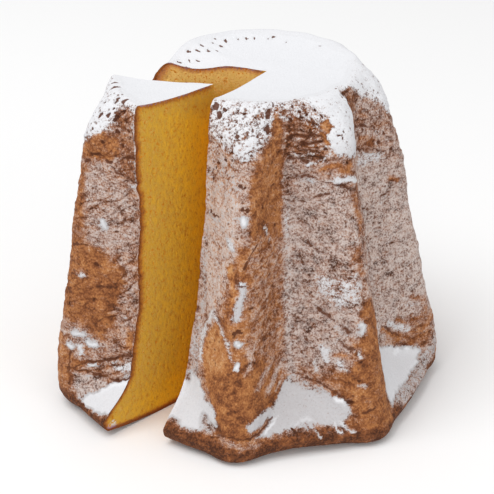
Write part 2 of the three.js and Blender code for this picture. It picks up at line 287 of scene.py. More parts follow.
# Strips along a path: sugar, dust and bake to blend to, half width, and the path.
STRIPS = (
    # sugar lumps down the front ridge, and sugar caught along the edges of its golden patch
    (1.2, 1, 0, 2.4, ((-6.6, 137), (-6.3, 134.5))),
    (0.9, 1, 0, 2.0, ((-12.4, 122.6), (-10.8, 120.5))),
    (1.2, 1, 0, 1.5, ((-7.3, 101.8), (-6.2, 101))),
    (0.96, 1, 0, 2.6, ((-6.0, 97), (-6.9, 89), (-7.4, 83))),
    (1.2, 1, 0, 1.9, ((-6.9, 70), (-6, 69))),
    (1.2, 1, 0, 1.7, ((-7, 58), (-6.9, 55))),
    (0.85, 0.9, 0, 1.2, ((2.6, 128.5), (3.4, 124))),
    (0.75, 0.8, 0, 0.9, ((4, 121), (4.4, 119))),
    (0.75, 0.9, 0.2, 1.2, ((-17, 78), (-13, 74), (-10.2, 68), (-9, 60))),
    (0.8, 0.9, 0.2, 1.7, ((-17.5, 79), (-21, 70), (-22.7, 60), (-22, 48))),
    (0.25, 0.7, 0.2, 2.0, ((-2.6, 64), (-2, 58), (-3.4, 52))),
    (0.24, 0.7, 0.2, 2.2, ((0.2, 42), (2.4, 47), (3.6, 50))),
    (0.3, 0.75, 0.2, 2.3, ((3.5, 36), (6.5, 42), (9.4, 49))),
    (0.3, 0.7, 0.2, 1.6, ((7, 34), (9.8, 40))),
    (0.1, 0.42, -0.2, 1.8, ((-11, 16), (-6, 12), (0, 9))),
    # bare strokes, lumps and lines of sugar on the second ridge
    (0.0, 0.06, 0.35, 1.3, ((27, 158.5), (30.5, 161), (33.5, 161.5))),
    (0.0, 0.06, 0.35, 1.6, ((36.2, 158.5), (38.6, 160.5))),
    (0.0, 0.06, 0.3, 1.3, ((33.6, 158.3), (37, 156), (39.6, 154))),
    (0.94, 1, 0, 2.4, ((31.5, 152), (36, 152.5), (40.5, 150.5))),
    (0.7, 0.8, 0, 1.0, ((15, 166), (19, 164.5), (26, 167.5), (29, 171))),
    (0.8, 0.8, 0, 1.1, ((22, 160), (27, 163.5), (31, 168.5))),
    (1.1, 1, 0, 2.3, ((35, 71), (34.9, 67))),
    (0.9, 1, 0, 2.0, ((24.4, 56), (24.8, 49.5))),
    (0.8, 1, 0, 1.1, ((21.6, 47), (21.6, 42))),
    (0.8, 0.9, 0, 1.5, ((28.2, 50), (29, 46.5))),
    (0.7, 0.9, 0, 1.5, ((33.2, 56), (33.5, 52.5))),
    (0.6, 0.9, 0, 1.2, ((32.4, 37.5), (33.6, 36.5))),
    (0.0, 0.1, 0.3, 1.0, ((27.1, 53.2), (29.8, 53.4))),
    (0.95, 0.9, 0, 0.6, ((13.8, 14.5), (15.6, 10.5))),
    (0.95, 0.9, 0, 0.6, ((16.6, 14.5), (19.1, 7.5))),
    (0.9, 0.9, 0, 0.9, ((26.5, 15), (27.4, 11), (29.5, 9))),
    (0.9, 0.9, 0, 0.8, ((24.5, 13.5), (25.4, 9))),
    # bare strokes on the third ridge
    (0.0, 0.1, 0.2, 1.5, ((64.5, 41.5), (67, 39), (70.5, 31.5))),
    (0.0, 0.15, 0.0, 1.4, ((71.5, 44.5), (74.6, 38))),
    (0.0, 0.15, 0.1, 1.6, ((75.6, 42), (77.5, 41))),
    (0.0, 0.15, 0.0, 1.3, ((77, 56), (79, 53.5))),
    (0.1, 0.4, 0.2, 2.6, ((81, 51), (80.6, 30), (79, 24))),
    (0.0, 0.12, 0.2, 1.2, ((77, 131.5), (80, 130))),
    (0.8, 0.9, 0, 2.2, ((68, 44), (71, 40.5), (74, 36))),
    (0.7, 0.9, 0, 1.6, ((75, 52), (77, 50))),
    # lumps and lines of sugar on the slice
    (1.1, 1, 0, 2.1, ((-45.6, 122.5), (-44.8, 120.5))),
    (0.8, 1, 0, 1.5, ((-50.6, 89), (-49.8, 88))),
    (1.15, 1, 0, 1.9, ((-49.8, 52.4), (-48.8, 52.2))),
    (1.15, 1, 0, 1.7, ((-51.8, 43.8), (-50.6, 43.2))),
    (1.15, 1, 0, 1.9, ((-46.6, 47.4), (-44.2, 46.6))),
    (0.9, 1, 0, 1.0, ((-48.3, 44), (-47.8, 39))),
    (0.6, 0.8, 0, 1.0, ((-31.6, 190), (-31.2, 170), (-31, 150))),
)

# Creases of the skin: half width and depth in millimetres, and the path. Sugar is caught on the lower lip
# of each.
CREASES = (
    (0.7, 1.0, ((-11.4, 16.5), (-9, 17.2), (-6.2, 16), (-3, 15), (-0.4, 15.4), (2.6, 17.5), (4.8, 20.5))),
    (0.45, 0.6, ((-11.6, 22), (-11.8, 17), (-11.2, 12))),
    (0.5, 0.6, ((-9.4, 104), (-7.4, 100.4), (-5.6, 100))),
    (0.5, 0.6, ((-4.5, 112), (-2.6, 117), (-1, 120))),
    (0.4, 0.7, ((17, 177.5), (21, 176.5), (25, 177.5), (29, 177))),
    (0.55, 0.9, ((15, 174.5), (18, 172.5), (23, 173), (28, 174.5))),
    (0.6, 0.9, ((12.4, 160.5), (13.4, 163), (17.8, 162.6), (21.8, 161.5))),
    (0.8, 1.3, ((13.2, 138), (16, 137.2), (19.1, 137.6), (23.1, 139.2), (24.6, 141.5), (29.3, 144.5))),
    (0.45, 0.8, ((24, 152.5), (28, 150), (32.4, 149), (36, 147), (40.2, 145.6))),
    (0.45, 0.6, ((15, 151), (19, 152.5), (23.8, 153.5))),
    (0.6, 0.9, ((21, 114.5), (23, 112.5), (24.6, 109.8), (27.5, 110))),
    (0.5, 0.6, ((16.6, 106.5), (18.6, 105), (20, 102))),
    (0.5, 0.5, ((19.4, 92), (21.6, 93))),
    (0.5, 0.5, ((18, 128), (22, 130), (25, 129))),
    (0.8, 0.9, ((23, 78.5), (24.5, 76.5), (26.6, 74.8), (29.1, 70.6), (31, 67))),
    (0.6, 0.7, ((28.8, 61), (30.6, 58.6), (32.4, 56.4))),
    (0.4, 0.5, ((18.4, 62), (19.4, 59), (20.4, 57))),
    (0.5, 0.7, ((18.6, 37), (22, 35.4), (25.4, 32.6), (28.4, 29))),
    (0.6, 0.8, ((27.2, 29.4), (28.6, 27.6), (29.6, 26.2))),
    (0.5, 0.8, ((32.4, 20), (34, 21.2), (36, 22.2))),
    (0.5, 0.6, ((60.6, 169), (66, 168), (72.8, 164.5))),
    (0.7, 1.2, ((60.6, 155.2), (66, 153.8), (73, 151), (76.5, 148))),
    (0.5, 0.7, ((72.6, 120.8), (74.2, 122.6), (75.8, 123.6))),
    (0.5, 0.7, ((62.6, 118.6), (64.4, 117.6), (66.2, 118))),
    (0.5, 0.6, ((64.5, 43), (67, 41.5), (70.8, 33.5))),
    (0.5, 0.6, ((67, 28), (70, 30), (72.6, 27))),
    (0.5, 0.6, ((-24.7, 131), (-21, 130.5), (-18, 132))),
    (0.7, 1.2, ((-51.6, 160.8), (-49, 162.4), (-46.6, 162))),
    (0.6, 0.8, ((-45, 159.8), (-43, 159.4))),
    (0.6, 1.0, ((-38, 163.5), (-35, 164.5), (-32, 164.2))),
    (0.5, 0.8, ((-54, 156.4), (-51, 158.2))),
    (0.55, 0.9, ((-43, 157), (-40.5, 154), (-37, 151), (-34.5, 149.6), (-30.5, 148.4))),
    (0.6, 0.9, ((-55.6, 105), (-53, 106.6), (-50, 107.5))),
    (0.6, 1.0, ((-49.6, 28.4), (-45.8, 29.6), (-41.2, 28), (-36, 27.6), (-30.5, 31.8))),
    (0.5, 0.7, ((-45.4, 35.5), (-41, 38), (-36.5, 41.5), (-31, 44.5))),
    (0.55, 1.0, ((-51.2, 40), (-50.9, 28), (-50.3, 18))),
    (0.5, 0.6, ((-50.4, 28.6), (-48.6, 32), (-45.4, 36))),
    (0.45, 0.6, ((-45, 61), (-41, 65.5), (-36, 68))),
    (0.7, 1.3, ((100, 120), (107, 121.5), (116, 121), (124, 119))),
    (0.7, 1.5, ((137, 154), (145, 152.6), (156, 153.4), (163, 152))),
    (0.7, 1.3, ((194, 134), (202, 135.6), (212, 135), (217, 136))),
    (0.7, 1.1, ((227, 98.6), (234, 97.4), (244, 98.6), (249, 98))),
)

# Burst bubbles: where each one is and its radius in millimetres.
PITS = (
    (-25.5, 192, 3.2), (-22.6, 188.5, 2.8), (3.4, 191, 2.5), (2.8, 184, 2.8), (11.1, 196, 1.3),
    (6, 195.5, 1.0), (-9.2, 191, 1.0), (-16.4, 185, 1.2), (-2.2, 181.5, 1.3), (-4.2, 183.5, 0.8),
    (-10.6, 180, 2.0), (-20, 191.5, 1.0), (-12.7, 192, 0.9), (-8.6, 154.5, 2.1), (-6.7, 154.3, 1.4),
    (-7, 142, 1.5), (-5.2, 141.6, 1.4), (-23, 158, 1.1), (-25, 147, 0.9), (-3.4, 128.5, 1.1),
    (-6.4, 75.5, 2.0), (-8, 74, 1.3), (-5, 109.5, 1.2), (-4, 171, 1.1), (-27.5, 154, 1.2),
    (-27, 139, 1.3), (-24.5, 150, 0.9), (-26.4, 112, 0.9), (-17, 165, 1.0), (-13, 166.5, 0.9),
    (-20.5, 161, 0.8), (5.2, 164, 1.1), (6.6, 150, 1.0), (1.6, 140, 0.9), (7.4, 125, 0.9),
    (4.4, 100, 0.9), (-2.4, 88, 0.9), (16.4, 193, 1.0), (19.4, 190, 1.1), (23, 188.5, 1.0),
    (27.6, 191, 0.8), (30, 187.5, 0.9), (25.6, 184, 1.1), (15, 186, 1.2), (35.4, 177, 0.9),
    (36.8, 175, 1.0), (38.4, 178, 0.9), (28.6, 170, 0.9), (36.4, 162.5, 1.1), (29.4, 26.4, 1.4),
    (52.4, 181, 1.1), (55, 187, 1.1), (60.4, 189, 1.0), (64.6, 184, 1.2), (76.4, 160, 1.2),
    (74, 155, 1.0), (78.6, 149, 1.4), (38.4, 108, 0.9), (33, 98, 0.9), (68, 134, 0.9), (74.6, 92, 1.0),
    (-63, 195, 2.5), (-69, 195, 2.0), (-55, 190, 1.4), (-48.8, 193, 2.1), (-43.2, 194, 2.1),
    (-48, 185, 1.9), (-52, 184, 2.0), (-52.6, 176.5, 1.2), (-57, 179, 1.2), (-46.4, 189.5, 1.0),
    (-39, 190, 1.1), (-36.6, 185, 1.1), (132, 202, 1.5), (158, 206, 1.5), (170, 202, 1.9),
    (173, 205, 1.6), (181, 206, 1.9), (184, 203, 1.5), (190, 204, 2.0), (196, 205, 1.6), (206, 203, 1.8),
    (214, 209, 1.8), (217, 203, 1.6), (222, 213, 1.8), (228, 208, 2.0), (232, 203, 1.7), (236, 214, 1.7),
    (240, 208, 1.6), (243, 204, 2.0), (247, 199, 1.9), (250, 204, 1.6), (236, 199, 1.8), (226, 201, 1.7),
    (212, 199, 1.6), (248, 211, 1.8), (-41, 178.4, 1.4), (-34, 176.4, 1.0), (-47, 170.4, 1.0),
    (-38.6, 170, 1.1), (-47, 96, 0.9), (-41, 117, 0.9),
)
MM_PER_DEGREE = 1.6  # of the unrolled crust, at half height
LOOSE = (0.65, 0.95)  # amounts between which a place's sugar lies loose and white on the dough


def path_distance(azimuth, level, path):
    """Distance from a path of straight stretches on the unrolled crust, and how far a point is above its
    nearest spot, in millimetres."""
    spot = np.array(path, float) * (MM_PER_DEGREE, 1)
    x, y = azimuth * MM_PER_DEGREE, level
    nearest = np.full(x.shape, np.inf)
    above = np.zeros(x.shape)
    for (x0, y0), (x1, y1) in zip(spot[:-1], spot[1:]):
        run, rise = x1 - x0, y1 - y0
        along = np.clip(((x - x0) * run + (y - y0) * rise) / (run**2 + rise**2), 0, 1)
        away = np.hypot(x - x0 - along * run, y - y0 - along * rise)
        above = np.where(away < nearest, y - y0 - along * rise, above)
        nearest = np.minimum(nearest, away)
    return nearest, above


def in_place(azimuth, level, corners, blur):
    """1 inside a closed outline on the unrolled crust and 0 outside it, with a smooth edge. A point is
    inside where a line from it crosses the outline an odd number of times."""
    corner = np.array(corners, float) * (MM_PER_DEGREE, 1)
    x, y = azimuth * MM_PER_DEGREE, level
    inside = np.zeros(x.shape, bool)
    for (x0, y0), (x1, y1) in zip(corner, np.roll(corner, -1, 0)):
        if y0 != y1:
            inside ^= ((y0 > y) != (y1 > y)) & (x < x0 + (y - y0) * (x1 - x0) / (y1 - y0))
    away, _ = path_distance(azimuth, level, corners + corners[:1])
    return smooth(np.where(inside, away, -away), -blur, blur)


def on_strip(azimuth, level, path, half_width):
    """A bell across a path on the unrolled crust: 1 on it and falling to 0 beside it."""
    away, _ = path_distance(azimuth, level, path)
    return np.exp(-((away / half_width) ** 2) * 0.8)


def close_to(azimuth, level, path, reach):
    """Which points lie within reach, in millimetres, of the box around a path on the unrolled crust."""
    spot = np.array(path, float)
    low, high = spot.min(0), spot.max(0)
    wide = reach / MM_PER_DEGREE
    beside = (azimuth > low[0] - wide) & (azimuth < high[0] + wide)
    return beside & (level > low[1] - reach) & (level < high[1] + reach)


def lay_on(cover, shapes, azimuth, level, share_inside, spread):
    """Blends the sugar, dust and bake to each shape's amounts where its share is 1. Returns how much
    loose sugar was caught there, and how much lies in lumps."""
    caught = np.zeros(level.shape)
    lump = np.zeros(level.shape)
    for *amounts, size, path in shapes:
        near = close_to(azimuth, level, path, spread * size)
        inside = share_inside(azimuth[near], level[near], path, size)
        for layer, to in zip(cover, amounts):
            layer[near] += (to - layer[near]) * inside
        if LOOSE[0] < amounts[0] < LOOSE[1]:
            caught[near] = np.maximum(caught[near], inside)
        if amounts[0] > 1:
            lump[near] += 0.6 * inside
    return caught, lump


def resting_cover(level, ridge, slope, patchy):
    """Sugar, dust and bake by the loaf's own rules, before any place is blended in: sugar lies on the
    shoulders and on the skirt's slope, dust on the flanks, and the ridges' feet and some bald patches are
    bare."""
    shoulder = smooth(level, 172 - 10 * ridge, 194)
    bare_foot = ridge * (1 - smooth(level, 48, 78)) * (1 - slope)
    bald = smooth(patchy, 0.25, 0.75) * smooth(level, 40, 60) * (1 - smooth(level, 150, 170))
    sugar = 0.18 + 0.2 * patchy + 0.85 * shoulder
    dust = 0.66 + 0.2 * patchy
    bake = 0.05 + 0.25 * patchy * ridge
    for bare in (bare_foot, bald):
        sugar = sugar * (1 - bare)
        dust = dust + (0.1 - dust) * bare
        bake = bake + (0.3 - bake) * bare * 0.8
    sugar = sugar + (1.2 - sugar) * slope
    rim = 1 - smooth(level, 8, 15)
    sugar = sugar * (1 - rim)
    dust = dust + (-0.1 + 0.4 * smooth(level, 6, 14) * (1 - ridge) - dust) * rim
    bake = bake + (-0.55 - bake) * rim
    return sugar, dust, bake


def creased(azimuth, level, point):
    """The creases: how dark each is, how deep, and the lip below it that catches sugar. Across a crease
    both dark and depth are bells, and the lip is a bell two millimetres below it, fading where the dough
    is smooth."""
    crack, groove, lip = np.zeros((3,) + level.shape)
    patchwork = np.clip(0.6 + gradient_noise(point, 6, 27), 0, 1)
    for half_width, depth, path in CREASES:
        near = close_to(azimuth, level, path, 5)
        away, above = path_distance(azimuth[near], level[near], path)
        cut = np.exp(-((away / (half_width + 0.7)) ** 2))
        crack[near] = np.maximum(crack[near], cut * (0.78 + 0.4 * patchwork[near]))
        groove[near] = np.maximum(groove[near], depth * cut)
        lip[near] += np.exp(-((away - 2.0) ** 2)) * smooth(-above, 0, 1.5) * patchwork[near]
    return crack, groove, lip


def holed(azimuth, level, point):
    """1 in the burst bubbles of the list and 0 outside them, each a little out of round."""
    hole = np.zeros(level.shape)
    for at_azimuth, at_level, radius in PITS:
        near = close_to(azimuth, level, ((at_azimuth, at_level),), radius + 2)
        beside = (azimuth[near] - at_azimuth) * MM_PER_DEGREE
        away = np.hypot(beside, (level[near] - at_level) * 1.25)
        away = away * (1 + 0.35 * gradient_noise(point[near], 2.2, 65))
        hole[near] = np.maximum(hole[near], 1 - smooth(away, 0.6 * radius, radius + 0.8))
    return hole


def ridged(points, size, seed, width):
    """1 along the lines where smooth noise crosses nought, falling to 0 beside them: a web of fine
    wrinkles."""
    return np.exp(-((gradient_noise(points, size, seed) / width) ** 2))


def wrinkled(front, climb):
    """The webs of wrinkles on the unrolled crust: long ones that lie aslant, one way left of the front
    ridges and the other way right of them, and a crumpled spot under the second ridge's shoulder."""
    unrolled = np.stack([front * MM_PER_DEGREE, climb, climb * 0], -1)
    wrinkle = np.zeros(climb.shape)
    for tilt, weight, seed in ((26, 1 - smooth(front, -4, 12), 55), (-20, smooth(front, -4, 12), 57)):
        turn = math.radians(tilt)
        along = unrolled[..., 0] * math.cos(turn) + unrolled[..., 1] * math.sin(turn)
        across = unrolled[..., 1] * math.cos(turn) - unrolled[..., 0] * math.sin(turn)
        wrinkle += weight * ridged(np.stack([along, across, across * 0], -1), (13, 4.2, 9), seed, 0.13)
    crumple = smooth(front, 10, 15) * (1 - smooth(front, 27, 31))
    crumple = crumple * smooth(climb, 160, 165) * (1 - smooth(climb, 182, 190))
    return wrinkle, crumple * ridged(unrolled, (11, 2.9, 9), 59, 0.2)


def crust_finish(azimuth, level, share, point):
    """Amounts of sugar, dust, bake, pits and cracks all over the crust, and how far it stands out, in
    millimetres. The loaf's own rules come first, then each place, strip, crease and bubble is blended in,
    its outline wavering with the dough. Last comes the dough's relief, a sum of swells, folds, wrinkles
    and leathery skin, less its burst bubbles, and calmer under a drift of sugar."""
    ridge = star(azimuth, level)[1]
    front = (azimuth + 90) % TURN - 90
    inward = np.hypot(point[..., 0], point[..., 1]) * (1 / np.maximum(share, 0.02) - 1)
    climb = level + np.where(level > HEIGHT / 2, inward, -inward)
    coarse = [1.8 * gradient_noise(point, 13, 11 + k) + gradient_noise(point, 5, 15 + k) for k in (0, 1)]
    fine = [gradient_noise(point, 2.6, 17 + k) for k in (0, 1)]

    # what was shaken on, in outlines that waver with the dough, and then marks that waver less
    around = front + (coarse[0] + fine[0]) / MM_PER_DEGREE
    up = climb + coarse[1] + fine[1]
    patchy = gradient_noise(point, 38, 21) + 0.5 * gradient_noise(point, 16, 23)
    slope = smooth(skirt(ridge, up) - star(azimuth, np.clip(up, 0, HEIGHT))[0], -1, 2.5)
    slope = slope * smooth(up, 9, 16) * (1 - smooth(up, 30, 37))
    cover = resting_cover(up, ridge, slope, patchy)
    in_places, _ = lay_on(cover, PLACES, around, up, in_place, 1)
    around = front + (coarse[0] * 0.4 + fine[0] * 1.1) / MM_PER_DEGREE
    up = climb + coarse[1] * 0.4 + fine[1] * 1.1
    on_strips, lump = lay_on(cover, STRIPS, around, up, on_strip, 3)
    crack, groove, lip = creased(around, up, point)
    hole = holed(around, up, point)

    # the sugar on the creases' lips and all over the top, and none underneath
    sugar, dust, bake = cover
    sugar = sugar + 0.42 * lip
    lump = lump + 0.2 * lip
    top = smooth(climb, 194, 203)
    underneath = 1 - smooth(climb, -6, 1)
    sugar = (sugar + (1.25 - sugar) * top) * (1 - underneath)
    dust = dust + (0.1 - dust) * underneath
    bake = bake + (-0.5 - bake) * underneath

    # the dough's own relief
    on_flank = smooth(climb, 2, 16) * (1 - smooth(climb, HEIGHT - 3, HEIGHT + 6))
    radians = np.radians(azimuth)
    swell = np.sin(5 * radians + level / 19) * np.sin(2 * radians + level / 13)
    swell = swell + 0.6 * np.sin(11 * radians - level / 9)
    swell = 0.8 * swell * smooth(level, 0, 30) * (1 - smooth(level, 183, HEIGHT))
    swell = swell * (share > 0.999)
    high = smooth(climb, 125, 155) * (1 - smooth(climb, 180, 192))
    folds = gradient_noise(point, (22, 22, 6), 41) * (0.3 + 0.5 * high)
    skin = 0.44 * gradient_noise(point, 6, 43) + 0.42 * gradient_noise(point, 3.1, 45)
    wrinkle, crumple = wrinkled(front, climb)
    wrinkle = wrinkle * smooth(gradient_noise(point, 24, 61), -0.5, 0.5) * (1 - slope)
    bubble, chance = nearest_seed(point, 7.5, 51)
    frequency = 0.08 + 0.5 * smooth(climb, 140, 175) + 0.2 * (ridge > 0.8)
    burst = (chance < frequency) * np.clip(1 - bubble / (0.12 + 0.12 * chance / frequency), 0, 1) ** 0.7
    pit, odds = nearest_seed(point, 3.4, 53)
    pitted = (odds < 0.5) * np.clip(1 - pit / 0.34, 0, 1)
    drift = smooth(sugar, 0.85, 1.0)
    calm = 1 - 0.8 * drift
    out = swell + (folds + skin) * calm * (0.25 + 0.75 * on_flank) - groove * on_flank
    out = out - (0.62 * wrinkle + 0.6 * crumple) * calm * on_flank
    out = out - (burst + 0.4 * pitted) * (1 - drift) * on_flank - 1.1 * hole
    out = out + 0.5 * smooth(sugar, 0.5, 1.0)
    out = out + 0.25 * gradient_noise(point, 11, 47) * smooth(sugar, 0.6, 1.0)
    out = out + lump * calm.clip(0.5, 1) * (1 + 0.8 * gradient_noise(point, 2.4, 63))
    fade = smooth(np.hypot(point[..., 0], point[..., 1]), 1, 12)

    # what the crust's material reads
    # how far the dough lies in burst bubbles, pits, wrinkles and low skin, which the crust's material
    # darkens as painted shade
    hollow = burst * 0.8 + pitted * 0.4 + 0.55 * wrinkle + 0.7 * crumple - 0.5 * skin
    speckled = 0.3 + 0.7 * smooth(climb, 150, 180) * (1 - smooth(climb, HEIGHT - 2, HEIGHT + 10))
    # How white the sugar is: full on the top, the shoulders and the heaviest drifts, grey on thinner ones.
    # The grey is partly painted shade, on drifts that lie in shade.
    thick = np.maximum(smooth(sugar, 0.93, 1.24), 0.9 * smooth(climb, 156, 180))
    finish = {
        "sugar": sugar,
        "dust": dust,
        "bake": bake + 0.15 * gradient_noise(point, 8, 25),
        "hollow": np.clip(hollow * on_flank, 0, 1) * (1 - drift),
        "crack": np.maximum(crack * on_flank, 1.3 * hole),
        "speckled": speckled * (1 - drift) * on_flank,
        "thick": np.maximum(thick, 0.55 * np.maximum(in_places, on_strips)),
    }
    return finish, out * fade


def cut_lathe(angles, tip, levels, rings):
    """The dough between two upright cuts. Columns are rays from the line where the cuts meet, and each
    ray's length is walked to the side's radius. Rows run out along the underside, up the side and in over
    the top."""
    share = np.concatenate([rings[1:-1], np.ones(len(levels)), rings[-2:0:-1]])
    level = np.concatenate([np.zeros(len(rings) - 2), levels, np.full(len(rings) - 2, HEIGHT)])
    ray = np.radians(angles)[:, None]
    toward = np.stack([np.sin(ray), -np.cos(ray)], -1)
    middle = np.array(tip)
    level = np.broadcast_to(level, (len(angles), len(level)))
    reach = np.full(level.shape, 90.0)
    # each round takes the side's radius at the azimuth that the last one reached
    for _ in range(5):
        out = middle + reach[..., None] * toward
        azimuth = np.degrees(np.arctan2(out[..., 0], -out[..., 1]))
        radius = side_radius(azimuth, level)
        along = (toward * middle).sum(-1)
        reach = -along + np.sqrt(radius**2 - middle @ middle + along**2)
    spot = middle + (reach * share)[..., None] * toward
    share = np.where(share < 1, np.minimum(np.linalg.norm(spot, axis=-1) / radius, 0.995), 1)
    azimuth = np.degrees(np.arctan2(spot[..., 0], -spot[..., 1]))
    height = rest_height(azimuth, level, share)
    return np.concatenate([spot, height[..., None]], -1), azimuth, level, share


def grid_normals(grid):
    """Outward unit normals of a grid: the cross product of its slopes from column to column,
    anticlockwise seen from above, and from row to row, upwards."""
    normal = np.cross(np.gradient(grid, axis=0), np.gradient(grid, axis=1))
    return normal / np.maximum(np.linalg.norm(normal, axis=-1, keepdims=True), 1e-9)


def share_of_length(line):
    """How far along a line each of its points lies, as a share of its length."""
    walked = np.concatenate([[0], np.cumsum(np.linalg.norm(np.diff(line, axis=0), axis=1))])
    return walked / walked[-1]


def grid_quads(index):
    """The four corners of each cell of a grid of point numbers."""
    corners = [index[:-1, :-1], index[1:, :-1], index[1:, 1:], index[:-1, 1:]]
    return np.stack(corners, -1).reshape(-1, 4)


def patch(underside, side, top, u, v):
    """A Coons patch: the blend of a cut face's four edges, less the blend of its corners. The edges are
    rows of (distance from the meeting line, height), and the fourth edge is the meeting line itself. u
    runs out along the underside and the top, as a share of their length, and v up the side."""
    along = lambda edge, own, at: np.stack([np.interp(at, own, edge[:, k]) for k in (0, 1)], -1)
    low = along(underside, underside[:, 0] / underside[-1, 0], u)[:, None]
    high = along(top, top[:, 0] / top[-1, 0], u)[:, None]
    rim = along(side, share_of_length(side), v)[None]
    u, v = u[:, None, None], v[None, :, None]
    axis = underside[0] + (top[0] - underside[0]) * v
    corners = (1 - u) * ((1 - v) * underside[0] + v * top[0]) + u * ((1 - v) * side[0] + v * side[-1])
    return (1 - v) * low + v * high + (1 - u) * axis + u * rim - corners


def to_crust(flat, underside, side, top):
    """Distances of points of a cut face from its side, its top and its underside, in millimetres."""
    away, height = flat[..., 0], flat[..., 1]
    order = np.argsort(side[:, 1])
    to_side = np.interp(height, side[order, 1], side[order, 0]) - away
    to_top = np.interp(away, top[:, 0], top[:, 1]) - height
    to_bottom = height - np.interp(away, underside[:, 0], underside[:, 1])
    return [np.maximum(distance, 0) for distance in (to_side, to_top, to_bottom)]


def toast(to_side, to_top, to_bottom, reach=3.9):
    """How brown the cut dough is: baked through at the crust, less so under the top's sugar, darkest at
    the bottom, the more so towards the middle. reach is how far in from the side it goes, in
    millimetres."""
    side = np.exp(-((to_side / reach) ** 1.6))
    top = 0.8 * np.exp(-((to_top / 3.1) ** 1.6))
    thick = 2.4 + 1.8 * smooth(to_side, 20, 90)
    bottom = 1.3 * np.exp(-((to_bottom / thick) ** 2))
    return np.maximum(np.maximum(side, top), bottom)


def sifted(to_top):
    """How much sugar clings to the cut dough: a narrow band under the top."""
    return 0.62 * np.exp(-((to_top / 1.7) ** 2))


def stand(points, turn, base, top):
    """From a place in the loaf to the place on the table, in metres: turned about the loaf's axis, then
    leant with its base kept level. base and top are where the axis stands at the foot and at full
    height."""
    a = math.radians(turn)
    x = points[..., 0] * math.cos(a) - points[..., 1] * math.sin(a)
    y = points[..., 0] * math.sin(a) + points[..., 1] * math.cos(a)
    up = points[..., 2] / HEIGHT
    x = x + base[0] + (top[0] - base[0]) * up
    y = y + base[1] + (top[1] - base[1]) * up
    return np.stack([x, y, points[..., 2]], -1) / 1000


def make_piece(name, points, faces, amounts, materials, face_material=None, sharp=None):
    """A smooth mesh object from arrays. A face is a row of 4 corners, or of 3 with the last one repeated,
    amounts are its attributes, and edges between two sharp points stay sharp."""
    triangle = faces[:, 2] == faces[:, 3]
    size = np.where(triangle, 3, 4)
    keep = np.ones(faces.shape, bool)
    keep[triangle, 3] = False
    mesh = bpy.data.meshes.new(name)
    mesh.vertices.add(len(points))
    mesh.vertices.foreach_set("co", points.astype(np.float32).ravel())
    mesh.loops.add(int(size.sum()))
    mesh.loops.foreach_set("vertex_index", faces[keep].astype(np.int32))
    mesh.polygons.add(len(faces))
    start = np.concatenate([[0], np.cumsum(size)[:-1]])
    mesh.polygons.foreach_set("loop_start", start.astype(np.int32))
    if face_material is not None:
        mesh.polygons.foreach_set("material_index", face_material.astype(np.int32))
    mesh.update(calc_edges=True)
    mesh.shade_smooth()
    if sharp is not None:
        ends = np.zeros(len(mesh.edges) * 2, np.int32)
        mesh.edges.foreach_get("vertices", ends)
        mark = mesh.attributes.new("sharp_edge", "BOOLEAN", "EDGE")
        mark.data.foreach_set("value", sharp[ends.reshape(-1, 2)].all(1))
    for key, value in amounts.items():
        attribute = mesh.attributes.new(key, "FLOAT", "POINT")
        attribute.data.foreach_set("value", value.astype(np.float32).ravel())
    for material in materials:
        mesh.materials.append(material)
    piece = bpy.data.objects.new(name, mesh)
    bpy.context.scene.collection.objects.link(piece)
    return piece


# The crust's body is hollowed this far behind a cut face, and a slab of crumb fills the hollow.
SUNK = 2.5
UPRIGHT = np.array([0, 0, 1.0])


def cut_depth(flat, distances, ease):
    """How far the hollow behind a cut face goes in: nothing along the crust's edge, and little where the
    cuts meet. It is at its full depth from ease in from the side, in millimetres."""
    to_side, to_top, to_bottom = distances
    depth = SUNK * smooth(to_side, 0.8, ease) * smooth(np.minimum(to_top, to_bottom), 0.8, 2.6)
    return depth * np.clip(flat[..., 0] / 12, 0, 1)


def cut_planes(angles, middle, stance, eases):
    """The two cuts: the lathe's first or last column, the level direction outwards along its face and the
    one out of it, the way that its faces turn, and what the crumb needs to know of the body."""
    cuts = []
    for column, turn, ease in ((0, 1, eases[0]), (-1, -1, eases[1])):
        a = math.radians(angles[column])
        along = np.array([math.sin(a), -math.cos(a), 0.0])
        out = np.array([-math.cos(a), -math.sin(a), 0.0]) * turn
        cut = {"column": column, "along": along, "out": out, "turn": turn}
        cuts.append(cut | {"middle": middle, "stance": stance, "ease": ease})
    return cuts


def sunk_face(cut, grid, rings, pole_heights):
    """The inner points of the face that closes a cut: a patch from the meeting line to the edge of the
    grid, moved inwards by cut_depth. Notes the cut's edges, and returns the distances from them too."""
    outs = len(rings) - 1
    flat = grid[cut["column"]] - cut["middle"]
    flat = np.stack([flat @ cut["along"], flat[:, 2]], -1)
    cut["underside"] = np.concatenate([[[0, pole_heights[0]]], flat[:outs]])
    cut["side"] = flat[outs - 1 : 1 - outs]
    cut["top"] = np.concatenate([[[0, pole_heights[1]]], flat[: -outs - 1 : -1]])
    edges = cut["underside"], cut["side"], cut["top"]
    face = patch(*edges, rings, share_of_length(cut["side"]))[1:-1, 1:-1]
    distances = to_crust(face, *edges)
    inside = cut["middle"] + face[..., :1] * cut["along"] + face[..., 1:] * UPRIGHT
    inside = inside - cut_depth(face, distances, cut["ease"])[..., None] * cut["out"]
    return inside.reshape(-1, 3), distances


def face_numbers(column, axis, first):
    """Point numbers of the face that closes a cut, out from the meeting line and up from the underside.
    Its edges are the numbers along the meeting line and down the body's column, and the points inside are
    numbered on from first."""
    ups = len(axis) - 1
    outs = (len(column) + 1 - ups) // 2
    own = np.zeros((outs + 1, ups + 1), int)
    own[0] = axis
    own[1:, 0] = column[:outs]
    own[outs] = column[outs - 1 : outs + ups]
    own[1:, ups] = column[: outs + ups - 2 : -1]
    own[1:-1, 1:-1] = first + np.arange((outs - 1) * (ups - 1)).reshape(outs - 1, ups - 1)
    return own


